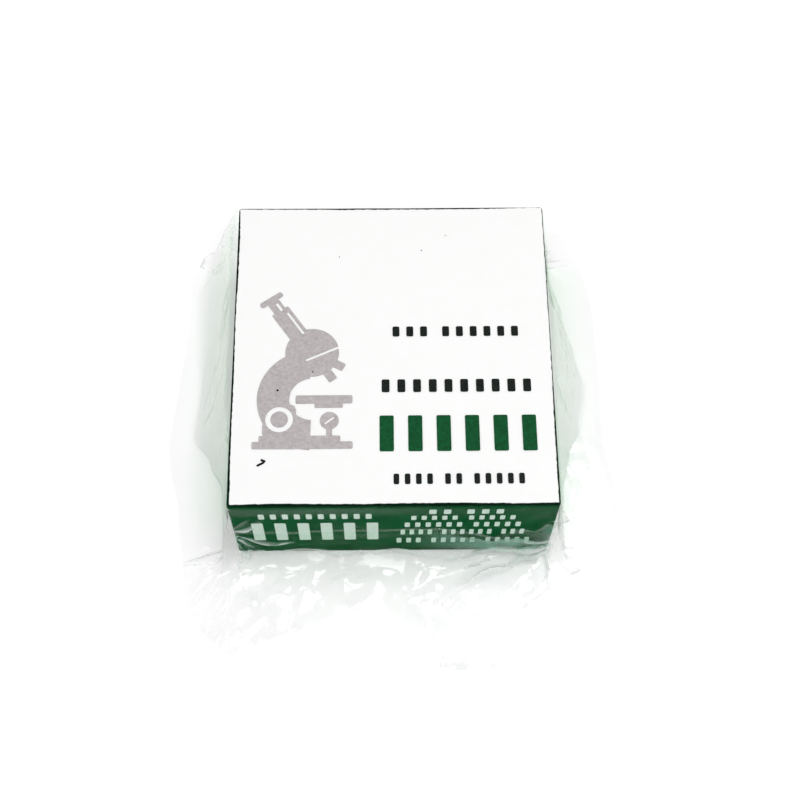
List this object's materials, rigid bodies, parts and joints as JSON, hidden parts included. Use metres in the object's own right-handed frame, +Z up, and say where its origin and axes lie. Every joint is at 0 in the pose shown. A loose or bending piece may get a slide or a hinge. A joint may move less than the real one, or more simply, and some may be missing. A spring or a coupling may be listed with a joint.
{
  "type": "microscope slide carton in clear film",
  "caption": "Closed square board carton of glass microscope slides, sealed in a loose clear film bag that lies on the table around it.",
  "frame": {"origin": "on the underside of the bag, below the middle of the carton", "axes": "+Z up through the lid, +Y towards the folded back end of the bag, -Y towards the bag's sealed mouth and the lid's front wall, +X to the right seen from the front"},
  "size_m": [0.1182, 0.1361, 0.034],
  "materials": {
    "printed_paper": "satin printed paper, white lid top and green walls",
    "clear_film": "clear crumpled polypropylene film"
  },
  "bodies": {
    "root": {"slide_carton": "printed_paper", "film_bag": "clear_film"}
  },
  "joints": []
}
